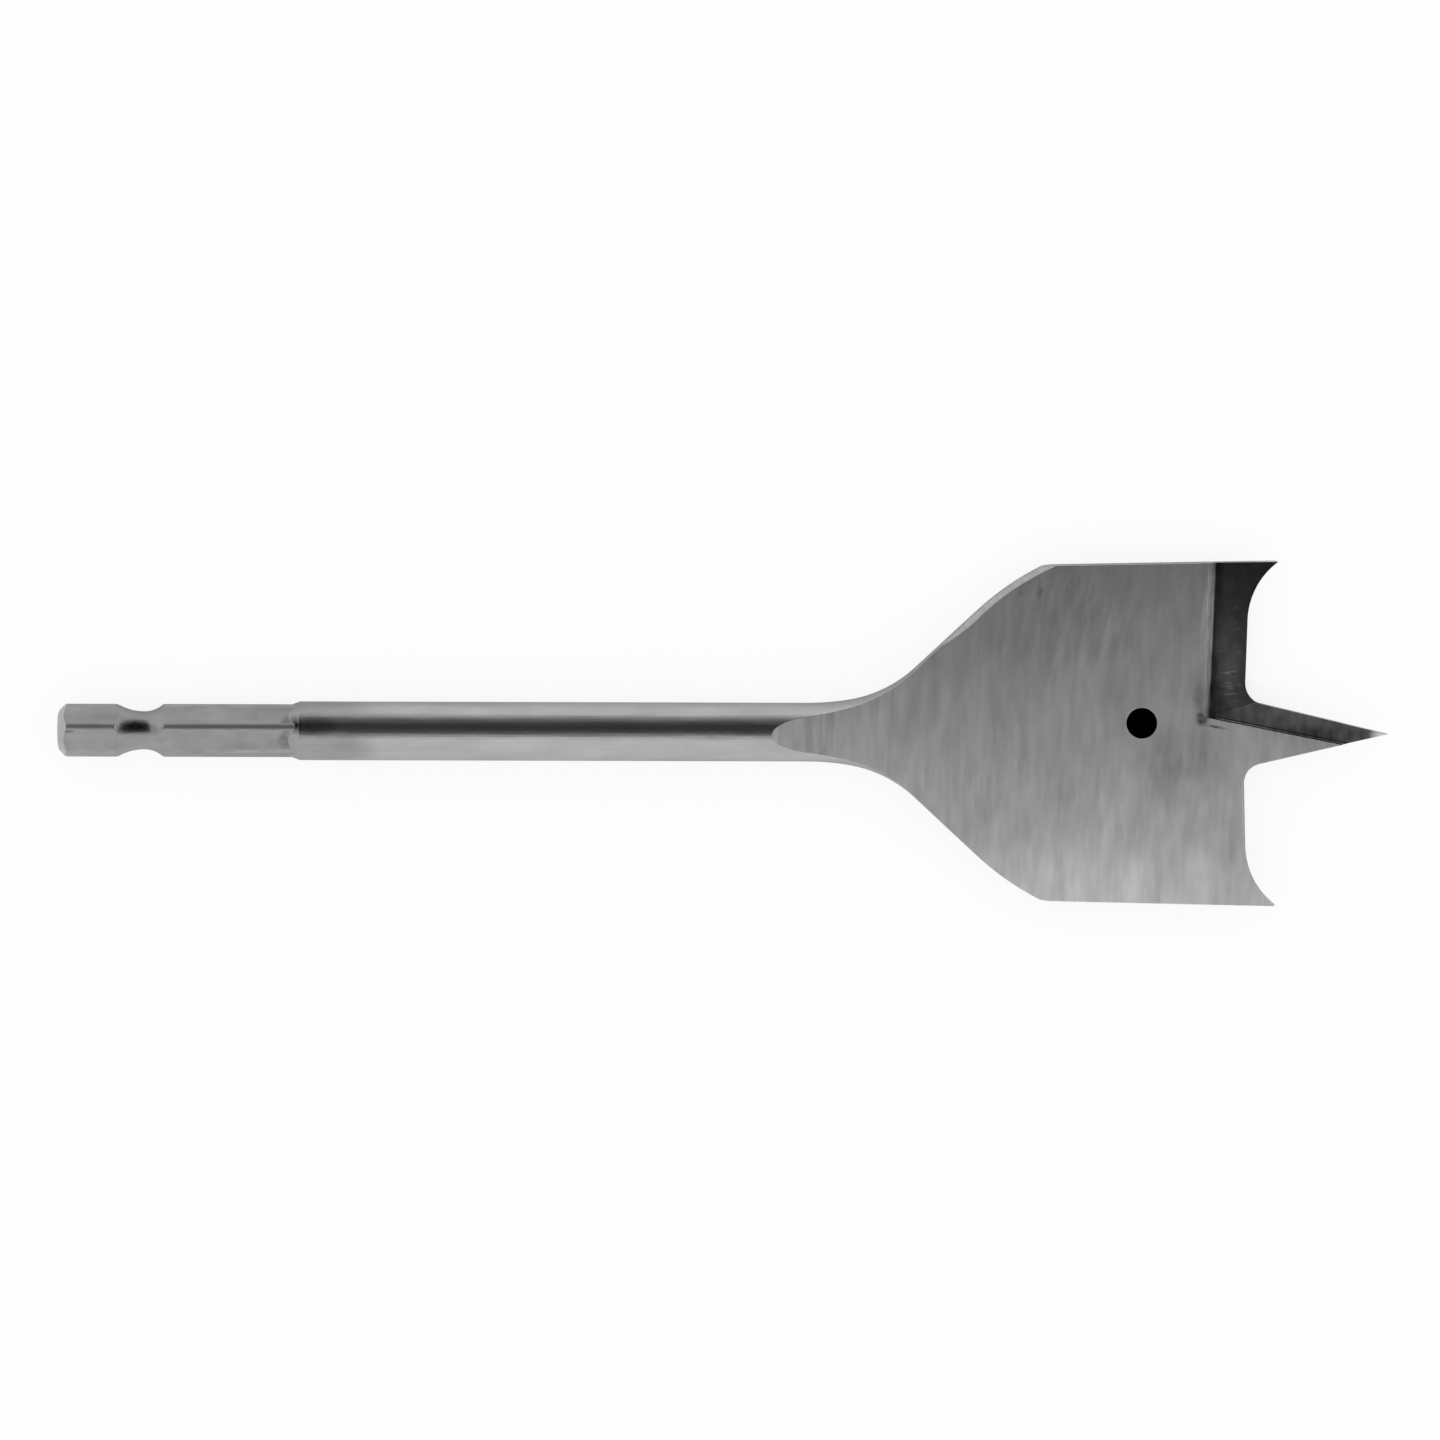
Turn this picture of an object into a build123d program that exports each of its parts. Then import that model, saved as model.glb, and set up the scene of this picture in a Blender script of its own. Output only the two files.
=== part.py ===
from build123d import *

import os
from math import asin, cos, degrees, radians, sin, sqrt, tan

# A spade bit forged and ground from one steel bar. Millimetres and degrees. The bit's axis lies along +X and
# its blade in the XY plane, with the origin at the centre of the shank's driven end.

# Overall
overall_length = 167.5
blade_width = 43.7
shaft_diameter = 7.4

# Hexagonal shank
across_flats = 6.35
hex_length = 29.1
corner_round = 0.95
shank_turn = 15.3  # from the blade's normal to the nearest corner
end_face_diameter = 4.7
end_round = 1.2
groove_centre = 10.9
groove_diameter = 4.8
groove_near_radius = 6.6
groove_far_radius = 3.5
step_angle = 21.0  # slope of the cone from the flats up to the round shaft

# Neck outline, from the shaft out to the shoulder
easing_radius = 32.8
easing_angle = 9.4
neck_radius = 15.9
flare_angle = 42.9
shoulder_radius = 34.8
shoulder_angle = 26.3  # slope left where the shoulder meets the side land
shoulder_corner_radius = 8.0

# Side lands, lips, spurs and point
land_length = 29.5
land_flare = 1.15
lip_slope = 1.8
spur_reach = 7.35  # how far in from the side land a lip turns up into its spur
spur_arc_radius = 9.6
point_length = 18.0
point_half_angle = 13.25
point_root_radius = 2.8
lip_relief = 8.0
side_relief = 1.0

# Ground faces
blade_thickness = 2.4
flat_length = 35.4  # from the lips back to where the taper begins
taper_angle = 4.9
taper_blend_radius = 150.0
tongue_length = 24.2  # from the start of the taper back to where the grinding wheel first bites the shaft
grinding_wheel_radius = 36.0

# Rake hollow beside each lip and along the point
rake_width = 4.55
rake_inner_radius = 2.05
rake_depth_inner = 0.6
rake_depth_outer = 0.85
rake_angle = 3.0
rake_wall_lean = 2.0
rake_fillet = 0.4
point_rake_turn = 11.3
point_rake_angle = 5.0

# Unground bevel left round one shoulder of each face
bevel = 0.65
bevel_start = 0.9  # along the straight flare, back from where the shoulder arc begins
bevel_fade_radius = 18.0

# Hanging hole
hole_diameter = 3.9
hole_from_lips = 13.0
hole_offset = 1.4

# Places that follow from the sizes
shaft_radius = shaft_diameter / 2
half_width = blade_width / 2
face_height = blade_thickness / 2
clear = shaft_radius
lips_x = overall_length - point_length
flank_slope = tan(radians(point_half_angle))
lean = (tan(radians(lip_relief)), tan(radians(side_relief)), 1)
flanks_meet = overall_length + face_height * (lean[0] + lean[1] / flank_slope)
root_y = (flanks_meet - lips_x) * flank_slope
half_turn = Location((0, 0, 0), (180, 0, 0))

# Cutting outline of the upper half: point flank, root, lip, spur and side land, leaning back under the edges
lip_end = (lips_x + (half_width - spur_reach - root_y) * tan(radians(lip_slope)), half_width - spur_reach)
spur_angle = degrees(asin(spur_reach / spur_arc_radius + sin(radians(lip_slope))))
far = 1.5 * half_width
flank_far = (flanks_meet + far / flank_slope, -far)
corner_slack = 3  # degrees that the outline stays clear of the neck behind the shoulder

with BuildPart() as cutting_outline:
    with BuildSketch(Plane.XY.offset(face_height)) as upper_edges:
        with BuildLine():
            flank = Line(flank_far, (lips_x, root_y))
            lip = Line(flank @ 1, lip_end)
            spur_arc = JernArc(lip @ 1, lip % 1, spur_arc_radius, lip_slope - spur_angle)
            land = PolarLine(spur_arc @ 1, land_length / cos(radians(land_flare)), 180 + land_flare)
            beside_neck = PolarLine(land @ 1, half_width, 180 + shoulder_angle - corner_slack)
            beside_shank = Line(beside_neck @ 1, (-clear, (beside_neck @ 1).Y))
            Polyline(beside_shank @ 1, (-clear, -far), flank_far)
        make_face()
        root = upper_edges.vertices().sort_by_distance((lips_x, root_y))[0]
        fillet(root, point_root_radius)
        shoulder_corner = upper_edges.vertices().sort_by_distance(land @ 1)[0]
        fillet(shoulder_corner, shoulder_corner_radius)
    extrude(amount=2 * shaft_diameter, dir=lean, both=True)

# Everything outside the hexagon, back to the cone that climbs to the round shaft
flats_reach = shaft_radius + clear
cone_run = (flats_reach - across_flats / 2) / tan(radians(step_angle))

with BuildPart() as outside_flats:
    with BuildSketch(Plane.XY):
        with BuildLine():
            Polyline(
                (-clear, 0),
                (hex_length, 0),
                (hex_length, across_flats / 2),
                (hex_length + cone_run, flats_reach),
                (-clear, flats_reach),
                close=True,
            )
        make_face()
    revolve(axis=Axis.X)
    with BuildSketch(Plane.YZ.offset(-clear)) as hexagon:
        RegularPolygon(across_flats / 2, 6, major_radius=False, rotation=90 - shank_turn)
        fillet(hexagon.vertices(), corner_round)
    extrude(amount=2 * clear + hex_length + cone_run, mode=Mode.SUBTRACT)

# Places along the neck, drawn back from the shoulder to the shaft
shoulder_rise = shoulder_radius * (cos(radians(shoulder_angle)) - cos(radians(flare_angle)))
shoulder_run = shoulder_radius * (sin(radians(flare_angle)) - sin(radians(shoulder_angle)))
shoulder_start = ((land @ 1).X - shoulder_run, (land @ 1).Y - shoulder_rise)
neck_rise = neck_radius * (cos(radians(easing_angle)) - cos(radians(flare_angle)))
neck_run = neck_radius * (sin(radians(flare_angle)) - sin(radians(easing_angle)))
easing_rise = easing_radius * (1 - cos(radians(easing_angle)))
easing_run = easing_radius * sin(radians(easing_angle))
flare_heading = Vector(cos(radians(flare_angle)), sin(radians(flare_angle)))
flare_length = (shoulder_start[1] - neck_rise - easing_rise - shaft_radius) / flare_heading.Y
neck_start = shoulder_start[0] - flare_length * flare_heading.X - neck_run - easing_run
overrun = 7  # degrees that the shoulder arc runs on past the side land
shoulder_turn = shoulder_angle - overrun - flare_angle

# Bevel: outside the shoulder outline at its foot, leaning in at 45 degrees, fading out along the flare
with BuildPart() as shoulder_bevel:
    with BuildSketch(Plane.XY.offset(face_height - bevel)):
        with BuildLine():
            foot = Line(Vector(*shoulder_start) - flare_heading * bevel_start, shoulder_start)
            round_shoulder = JernArc(foot @ 1, foot % 1, shoulder_radius, shoulder_turn)
            beyond = PolarLine(round_shoulder @ 1, 2 * clear, shoulder_angle - overrun)
            fade = JernArc(foot @ 0, -flare_heading, bevel_fade_radius, -flare_angle)
            top_y = (beyond @ 1).Y + clear
            Polyline(beyond @ 1, ((beyond @ 1).X, top_y), ((fade @ 1).X, top_y), fade @ 1)
        make_face()
    extrude(amount=2 * bevel, taper=-45)

# Rake hollow: one leg behind the lip, deepening out to the spur, and one along the point
rake_foot = (lips_x - rake_width, rake_inner_radius, face_height - rake_depth_inner)
rake_fall = (rake_depth_outer - rake_depth_inner) / (half_width - rake_inner_radius)
lean_x = tan(radians(rake_wall_lean))
lip_leg_plane = Plane(rake_foot, x_dir=(1, -lean_x, 0), z_dir=(-lean_x, -1, rake_fall))
turn_x = cos(radians(point_rake_turn))
turn_y = sin(radians(point_rake_turn))
point_leg_plane = Plane(rake_foot, x_dir=(turn_y, turn_x, 0), z_dir=(turn_x, -turn_y, 0))
lip_leg_reach = rake_width + 2 * clear
point_leg_reach = root_y + clear

with BuildPart() as rake_hollow:
    with BuildSketch(lip_leg_plane) as lip_leg:
        with BuildLine():
            Polyline(
                (0, 0),
                (lip_leg_reach, lip_leg_reach * tan(radians(rake_angle))),
                (lip_leg_reach, clear),
                (-clear, clear),
                close=True,
            )
        make_face()
        fillet(lip_leg.vertices().sort_by_distance((0, 0))[0], rake_fillet)
    extrude(amount=-half_width - clear)
    with BuildSketch(point_leg_plane) as point_leg:
        with BuildLine():
            Polyline(
                (0, 0),
                (point_leg_reach, point_leg_reach * tan(radians(point_rake_angle))),
                (point_leg_reach, clear),
                (0, clear),
                close=True,
            )
        make_face()
        fillet(point_leg.vertices().sort_by_distance((0, 0))[0], rake_fillet)
    extrude(amount=rake_width + point_length + 2 * clear)

# Side view of the ground faces: the wheel's run-out, the tapered tongue and the flat blade
taper_way = Vector(cos(radians(taper_angle)), -sin(radians(taper_angle)))
taper_start = Vector(lips_x - flat_length, face_height)
bite = Vector(-tongue_length, shaft_radius - face_height)
bite_height = bite.dot(Vector(-taper_way.Y, taper_way.X))
bite_run = sqrt(bite_height * (2 * grinding_wheel_radius - bite_height))
wheel_foot = taper_start + taper_way * (bite.dot(taper_way) + bite_run)
wheel_turn = 45  # of the wheel's rim, enough to leave the bar
beyond_tip = overall_length + clear

groove_drop = shaft_radius - groove_diameter / 2
near_turn = degrees(asin(sqrt(groove_drop * (2 * groove_near_radius - groove_drop)) / groove_near_radius))
far_turn = degrees(asin(sqrt(groove_drop * (2 * groove_far_radius - groove_drop)) / groove_far_radius))
groove_waist = (groove_centre, groove_diameter / 2)
end_rim = (0, end_face_diameter / 2)

with BuildPart() as spade_bit:
    with BuildSketch(Plane.XY) as bar_section:
        with BuildLine():
            near_side = JernArc(groove_waist, (-1, 0), groove_near_radius, -near_turn)
            far_side = JernArc(groove_waist, (1, 0), groove_far_radius, far_turn)
            Polyline((0, 0), end_rim, (shaft_radius - end_rim[1], shaft_radius), near_side @ 1)
            shaft = Line(far_side @ 1, (neck_start, shaft_radius))
            easing = JernArc(shaft @ 1, (1, 0), easing_radius, easing_angle)
            neck = JernArc(easing @ 1, easing % 1, neck_radius, flare_angle - easing_angle)
            flare = PolarLine(neck @ 1, flare_length, flare_angle)
            over = JernArc(flare @ 1, flare % 1, shoulder_radius, shoulder_turn)
            past = PolarLine(over @ 1, blade_width, shoulder_angle - overrun)
            bar_end = max(beyond_tip, (past @ 1).X + clear)
            Polyline(past @ 1, (bar_end, (past @ 1).Y), (bar_end, 0), (0, 0))
        make_face()
        rim = bar_section.vertices().sort_by_distance(end_rim)[0]
        fillet(rim, end_round)
    revolve(axis=Axis.X)
    add(outside_flats.part, mode=Mode.SUBTRACT)

    with BuildSketch(Plane.XZ):
        with BuildLine():
            rim_arc = JernArc(wheel_foot, -taper_way, grinding_wheel_radius, -wheel_turn)
            FilletPolyline(
                wheel_foot,
                taper_start,
                (beyond_tip, face_height),
                radius=taper_blend_radius,
            )
            Polyline(
                (beyond_tip, face_height),
                (beyond_tip, 0),
                (-clear, 0),
                (-clear, (rim_arc @ 1).Y),
                rim_arc @ 1,
            )
        make_face()
        mirror(about=Plane.XZ)
    extrude(amount=blade_width, both=True, mode=Mode.INTERSECT)

    add(cutting_outline.part, mode=Mode.INTERSECT)
    add(cutting_outline.part.moved(half_turn), mode=Mode.INTERSECT)
    add(shoulder_bevel.part, mode=Mode.SUBTRACT)
    add(shoulder_bevel.part.moved(half_turn), mode=Mode.SUBTRACT)
    add(rake_hollow.part, mode=Mode.SUBTRACT)
    add(rake_hollow.part.moved(half_turn), mode=Mode.SUBTRACT)

    with Locations((lips_x - hole_from_lips, hole_offset, face_height)):
        Hole(hole_diameter / 2)

spade_bit.part.label = "spade_bit"

os.makedirs("parts", exist_ok=True)
export_step(spade_bit.part, "parts/spade_bit.step")
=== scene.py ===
from math import asin, cos, degrees, pi, radians, sin, sqrt, tan

import bmesh
import bpy
from mathutils import Matrix, Vector


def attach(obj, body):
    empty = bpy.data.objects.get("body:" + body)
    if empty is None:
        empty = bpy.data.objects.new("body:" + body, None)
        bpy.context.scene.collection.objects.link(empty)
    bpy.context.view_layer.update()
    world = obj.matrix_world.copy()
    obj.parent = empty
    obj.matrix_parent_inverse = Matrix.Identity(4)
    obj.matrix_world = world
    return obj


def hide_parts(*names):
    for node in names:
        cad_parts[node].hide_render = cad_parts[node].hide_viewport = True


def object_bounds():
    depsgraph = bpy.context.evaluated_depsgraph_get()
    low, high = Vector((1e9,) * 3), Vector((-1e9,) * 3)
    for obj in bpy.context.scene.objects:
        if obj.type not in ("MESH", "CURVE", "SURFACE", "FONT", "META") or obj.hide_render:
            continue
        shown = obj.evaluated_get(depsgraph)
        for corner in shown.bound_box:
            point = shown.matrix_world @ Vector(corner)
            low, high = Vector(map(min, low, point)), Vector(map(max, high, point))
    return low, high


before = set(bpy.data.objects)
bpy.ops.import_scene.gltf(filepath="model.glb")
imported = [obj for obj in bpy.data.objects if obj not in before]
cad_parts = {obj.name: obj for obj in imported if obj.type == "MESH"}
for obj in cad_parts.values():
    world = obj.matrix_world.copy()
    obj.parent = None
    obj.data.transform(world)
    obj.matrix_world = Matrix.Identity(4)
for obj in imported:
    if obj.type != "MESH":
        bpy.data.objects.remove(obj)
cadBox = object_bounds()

scene = bpy.context.scene
mm = 0.001  # sizes are given in millimetres, the scene is in metres


def toLinear(hexColour):  # sRGB hex to the linear colour that shaders take
    parts = [int(hexColour[i:i + 2], 16) / 255 for i in (1, 3, 5)]
    return tuple(c / 12.92 if c <= 0.04045 else ((c + 0.055) / 1.055) ** 2.4 for c in parts) + (1.0,)


# Inputs gives sockets, by name or number, a value, a source or a list of sources
def addNode(tree, kind, inputs=None, **settings):
    node = tree.nodes.new(kind)
    for name, value in settings.items():
        setattr(node, name, value)
    for key, value in (inputs or {}).items():
        socket = node.inputs[key]
        for source in value if isinstance(value, list) else [value]:
            if isinstance(source, bpy.types.NodeSocket):
                tree.links.new(source, socket)
            else:
                socket.default_value = source
    return node


def emptyTree(block):  # the node tree of a new material or world
    block.use_nodes = True
    block.node_tree.nodes.clear()
    return block.node_tree


# What all the steels share. Edge wear with a painted highlight begins where the cosine between the rounded and the
# flat direction of an edge reaches the first edge number, and is full at the second. Cut and core hold unless a mark
# has its own. Shift, in metres, keeps one mark's noise off the next.
grain = dict(middle=0.5, edgeLightStart=0.97, edgeLightFull=0.8, cut=(0.25, 0.75), core=0.4, shift=(0.013, 0.007, 0.005),
             edgeSamples=4)


# The tone of a steel runs from dark at 0 to light at 1. It starts at middle and rises where the surface bends over an
# edge, by edge wear and a painted highlight, and each mark moves it by the two numbers of its own tone while noise,
# as long in x, y and z as size says in mm, climbs through cut. Size is stretched along the strokes of the tool and
# turned by lean, in degrees. A mark with near fades along the bit, full at the first x and gone at the second. One
# with spot keeps to an oval, given by its middle and its half length in x and y, at the same place on both faces. It
# lies flat and is full within core. Relief is how high the other marks stand and edge how round the edges look, both
# in mm.
def newSteel(name, dark, light, roughness, relief, edge, wearAndEdgeLight, marks):
    material = bpy.data.materials.new(name)
    tree = emptyTree(material)
    place = addNode(tree, "ShaderNodeTexCoord").outputs["Object"]
    apart = addNode(tree, "ShaderNodeSeparateXYZ", {0: place}).outputs
    face = addNode(tree, "ShaderNodeMath", {0: apart["Z"]}, operation="SIGN").outputs[0]
    acrossFace = addNode(tree, "ShaderNodeMath", {0: apart["Y"], 1: face}, operation="MULTIPLY").outputs[0]
    onFace = addNode(tree, "ShaderNodeCombineXYZ", {0: apart["X"], 1: acrossFace}).outputs[0]
    normal = addNode(tree, "ShaderNodeNewGeometry").outputs["Normal"]
    rounded = addNode(tree, "ShaderNodeBevel", {"Radius": edge * mm}, samples=grain["edgeSamples"]).outputs[0]
    # edge wear and painted highlight: the tone rises where the rounded edge bends away from the flat
    bent = addNode(tree, "ShaderNodeVectorMath", {0: rounded, 1: normal}, operation="DOT_PRODUCT").outputs["Value"]
    tone = addNode(tree, "ShaderNodeMapRange",
                   {"Value": bent, "From Min": grain["edgeLightStart"], "From Max": grain["edgeLightFull"],
                    "To Min": grain["middle"], "To Max": grain["middle"] + wearAndEdgeLight}).outputs[0]
    height = 0.0
    for k, mark in enumerate(marks):
        lean = (0, 0, radians(mark.get("lean", 0)))
        shift = tuple(s * k for s in grain["shift"])
        low, high = mark.get("cut", grain["cut"])
        below, above = mark["tone"]
        stretched = addNode(tree, "ShaderNodeMapping", {"Vector": place, "Location": shift, "Rotation": lean,
                                                        "Scale": Vector(mark["size"]) * mm},
                            vector_type="TEXTURE").outputs[0]
        noise = addNode(tree, "ShaderNodeTexNoise", {"Vector": stretched, "Scale": 1.0, "Detail": 1.0}).outputs[0]
        share = addNode(tree, "ShaderNodeMapRange", {"Value": noise, "From Min": low, "From Max": high,
                                                     "To Min": below, "To Max": above}).outputs[0]
        if "near" in mark:
            full, gone = mark["near"]
            kept = addNode(tree, "ShaderNodeMapRange",
                           {"Value": apart["X"], "From Min": gone * mm, "From Max": full * mm}).outputs[0]
            share = addNode(tree, "ShaderNodeMath", {0: share, 1: kept}, operation="MULTIPLY").outputs[0]
        if "spot" in mark:
            x, y, halfX, halfY = [v * mm for v in mark["spot"]]
            fromMiddle = addNode(tree, "ShaderNodeMapping",
                                 {"Vector": onFace, "Location": (x, y, 0), "Rotation": lean,
                                  "Scale": (halfX, halfY, 1)}, vector_type="TEXTURE").outputs[0]
            far = addNode(tree, "ShaderNodeVectorMath", {0: fromMiddle}, operation="LENGTH").outputs["Value"]
            kept = addNode(tree, "ShaderNodeMapRange",
                           {"Value": far, "From Min": 1.0, "From Max": mark.get("core", grain["core"])}).outputs[0]
            share = addNode(tree, "ShaderNodeMath", {0: share, 1: kept}, operation="MULTIPLY").outputs[0]
        else:
            height = addNode(tree, "ShaderNodeMath", {0: share, 1: height}, operation="ADD").outputs[0]
        tone = addNode(tree, "ShaderNodeMath", {0: share, 1: tone}, operation="ADD").outputs[0]
    colour = addNode(tree, "ShaderNodeMix", {"Factor": tone, 6: toLinear(dark), 7: toLinear(light)},
                     data_type="RGBA", clamp_factor=False, clamp_result=True).outputs[2]
    dull = addNode(tree, "ShaderNodeMapRange",
                   {"Value": tone, "To Min": roughness[1], "To Max": roughness[0]}).outputs[0]
    bumped = addNode(tree, "ShaderNodeBump",
                     {"Height": height, "Distance": relief * mm, "Normal": rounded}).outputs[0]
    shader = addNode(tree, "ShaderNodeBsdfPrincipled",
                     {"Base Color": colour, "Metallic": 1.0, "Roughness": dull, "Normal": bumped})
    addNode(tree, "ShaderNodeOutputMaterial", {"Surface": shader.outputs[0]})
    return material


# Bright drawn bar: smooth and shiny, with lines along it, coarser than the real ones so that they show, and a slow
# ripple that makes its reflections waver. It is greyer where the shaft begins and in the groove, where the grey is
# painted shade, with a painted dark reflection in the groove and darker spots where the shaft begins, and has a
# darker streak just above its middle, nearer the blade.
drawnSteel = newSteel(
    "brightDrawnSteel", "#a0a0a0", "#bcbcbc", roughness=(0.17, 0.25), relief=0.05, edge=0.1, wearAndEdgeLight=0.3, marks=[
        dict(size=(7, 2.5, 2.5), tone=(-0.25, 0.25)),
        dict(size=(14, 0.3, 0.3), tone=(-0.07, 0.07)),
        dict(size=(1.2, 0.8, 0.8), tone=(-0.05, 0.05)),
        dict(size=(3, 3, 3), tone=(-0.5, -0.75), spot=(32.5, 0, 8, 30), core=0.5),
        # painted shade: the groove greyer
        dict(size=(3, 3, 3), tone=(-0.65, -0.9), spot=(10.5, 0, 5.5, 30), core=0.75),
        # painted reflection: the dark blob in the groove, in this mark and the next
        dict(size=(0.6, 0.5, 0.5), tone=(-1, -1.8), spot=(9.8, 0.8, 2.2, 0.9)),
        dict(size=(1, 1, 1), tone=(-0.4, -0.8), spot=(12.3, 0.4, 0.9, 0.9)),
        dict(size=(1, 1, 1), tone=(-0.8, -1.2), spot=(32.6, 1.05, 3.4, 1.3), core=0.5),
        dict(size=(1, 1, 1), tone=(-1.35, -1.9), spot=(30, 1.15, 0.95, 1.3), core=0.25),
        dict(size=(5, 1, 1), tone=(-0.4, -0.8), spot=(77, 1.25, 17, 0.6), core=0.3)])
# Cold-formed flats of the hexagon: satin, cloudy where the die pressed, with a few dark stains at both ends
hexSteel = newSteel(
    "pressedHexSteel", "#868686", "#a4a4a4", roughness=(0.28, 0.36), relief=0.004, edge=0.1, wearAndEdgeLight=0.4, marks=[
        dict(size=(6, 3, 3), tone=(-0.25, 0.25)),
        dict(size=(1.6, 1.2, 1.2), tone=(-0.15, 0.15)),
        dict(size=(7, 0.3, 0.3), tone=(-0.08, 0.08)),
        dict(size=(1, 1, 1), tone=(-0.9, -1.5), spot=(28.95, 1.2, 1, 1.2), core=0.3),
        dict(size=(1, 1, 1), tone=(-0.4, -1.1), spot=(28.7, -0.8, 1.1, 1.4)),
        dict(size=(0.5, 0.4, 0.4), tone=(-0.5, -1.5), spot=(1.6, 0.4, 0.9, 0.5))])
# Corners of the hexagon: rubbed by the chuck, paler and duller than the flats, in short dark and light stretches
cornerSteel = newSteel(
    "rubbedCornerSteel", "#909090", "#aeaeae", roughness=(0.4, 0.48), relief=0.004, edge=0.1, wearAndEdgeLight=0.3, marks=[
        dict(size=(3, 1, 1), tone=(-0.3, 0.3)),
        dict(size=(9, 0.3, 0.3), tone=(-0.1, 0.1))])
# Faces ground across by a wide wheel: fine uneven strokes, coarser than the real ones so that they show, in cloudy
# bands. Near the upper shoulder some lighter ones lean more, among dark nicks. The point and a patch beside the hole
# are greyer, and the lower edge has painted light on it. Chatter shows where the wheel runs out, bumped, with the
# light and dark of its facets painted in. A strip beside the hollow is a painted highlight, its inner corner has
# darker spots with a thin scratch beside them, and the tip is lighter.
groundSteel = newSteel(
    "surfaceGroundSteel", "#aaaaaa", "#d1d1d1", roughness=(0.28, 0.34), relief=0.002, edge=0.1, wearAndEdgeLight=0.3, marks=[
        dict(size=(0.6, 3.5, 3.5), tone=(-0.13, 0.13)),
        dict(size=(1.3, 6, 6), lean=-4, tone=(-0.24, 0.24)),
        dict(size=(3.5, 6, 6), lean=-4, tone=(-0.2, 0.2)),
        dict(size=(1.1, 6, 6), lean=-14, cut=(0.4, 0.66), tone=(-0.2, 0.45), spot=(127, 14, 14, 10)),
        dict(size=(0.9, 2, 2), lean=-12, cut=(0.62, 0.7), tone=(0, -0.8), spot=(125, 19, 8, 4)),
        # bumped chatter where the wheel runs out, with the light and dark of its facets painted into the colour
        dict(size=(0.9, 30, 30), cut=(0.3, 0.48), tone=(-0.35, 0.3), near=(98, 113)),
        dict(size=(4, 4, 4), tone=(-0.35, -0.15), near=(158, 142)),
        dict(size=(2, 3, 3), tone=(-0.35, -0.75), spot=(141, -3.5, 7, 6.5), core=0.3),
        # painted light: the lower edge of each face lighter
        dict(size=(2, 9, 9), tone=(0.22, 0.45), spot=(132, -21, 22, 9)),
        # painted highlight: a lit strip on the face beside the hollow's wall
        dict(size=(0.5, 3, 3), tone=(0.3, 0.9), spot=(144.25, 13.5, 0.55, 6), lean=-3, core=0.6),
        dict(size=(1, 1, 1), tone=(-0.6, -1.1), spot=(143.9, 4.4, 1.2, 3), core=0.3),
        dict(size=(0.8, 0.8, 0.8), tone=(-0.9, -2.3), spot=(144.1, 1.95, 1.15, 1.2), core=0.3),
        dict(size=(0.8, 0.3, 0.3), tone=(-0.5, -1.8), spot=(145.9, 0.95, 1.7, 0.25), lean=-10),
        dict(size=(1, 1, 1), tone=(1.5, 2), spot=(167.3, 0, 1.6, 1))])
# Narrow faces ground through the thickness: fine upright lines
edgeSteel = newSteel(
    "groundEdgeSteel", "#a8a8a8", "#c6c6c6", roughness=(0.28, 0.36), relief=0.002, edge=0.1, wearAndEdgeLight=0.3, marks=[
        dict(size=(0.3, 0.3, 2), tone=(-0.3, 0.3)),
        dict(size=(1.5, 1.5, 1), tone=(-0.2, 0.2))])
# Bevels dressed by hand: a little darker than the faces, and rounded off so that their outer edge catches the light,
# helped by a painted highlight along it
bevelSteel = newSteel(
    "dressedBevelSteel", "#a4a4a4", "#bcbcbc", roughness=(0.28, 0.34), relief=0.002, edge=0.25, wearAndEdgeLight=0.9, marks=[
        dict(size=(0.4, 0.4, 1.5), tone=(-0.3, 0.3)),
        dict(size=(2, 2, 2), tone=(-0.2, 0.2))])
# Hollow cut behind the lips: painted dark as shade, blackest in painted shade at the foot of its wall, with a painted
# highlight where the wall turns up above, a paler middle, a few light flecks and a lighter tip
rakeSteel = newSteel(
    "heatDarkenedSteel", "#383838", "#707070", roughness=(0.14, 0.22), relief=0.004, edge=0.08, wearAndEdgeLight=0.3, marks=[
        dict(size=(0.6, 2.5, 2.5), tone=(-0.12, 0.12)),
        dict(size=(1.5, 2, 2), tone=(-0.25, 0.25)),
        # painted shade: darkest towards the foot of the wall
        dict(size=(60, 60, 60), cut=(0, 0.1), tone=(0, -0.6), near=(145.2, 147)),
        # painted highlight: the top of the wall lit
        dict(size=(0.4, 2, 2), tone=(1.25, 1.85), spot=(144.85, 12.5, 0.55, 15), lean=-2, core=0.6),
        dict(size=(2, 2, 2), tone=(0.45, 0.9), spot=(147.6, 12, 3.4, 10), core=0.3),
        # painted shade: darker beside the foot of the wall
        dict(size=(1, 1, 1), tone=(-0.1, -0.4), spot=(146.7, 4.2, 1.9, 3.2)),
        dict(size=(2, 2, 2), tone=(-0.25, -0.5), spot=(158, -0.2, 9, 1.5)),
        dict(size=(1.8, 0.45, 1), cut=(0.62, 0.7), tone=(0, 1.2), spot=(147.6, 11, 2.4, 9.5)),
        dict(size=(1, 1, 1), tone=(4, 6), spot=(167.2, 0, 2.2, 1.2), core=0.3)])
# Drilled wall: rings left by the drill, painted near black as the shade inside the hole
drilledSteel = newSteel(
    "drilledSteel", "#181818", "#282828", roughness=(0.4, 0.5), relief=0.003, edge=0.05, wearAndEdgeLight=0.2, marks=[
        dict(size=(3, 3, 0.12), tone=(-0.35, 0.35)),
        dict(size=(0.8, 0.8, 0.4), tone=(-0.15, 0.15))])
finishes = [drawnSteel, hexSteel, cornerSteel, groundSteel, edgeSteel, bevelSteel, rakeSteel, drilledSteel]
print("finishes ready:", len(finishes))

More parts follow.
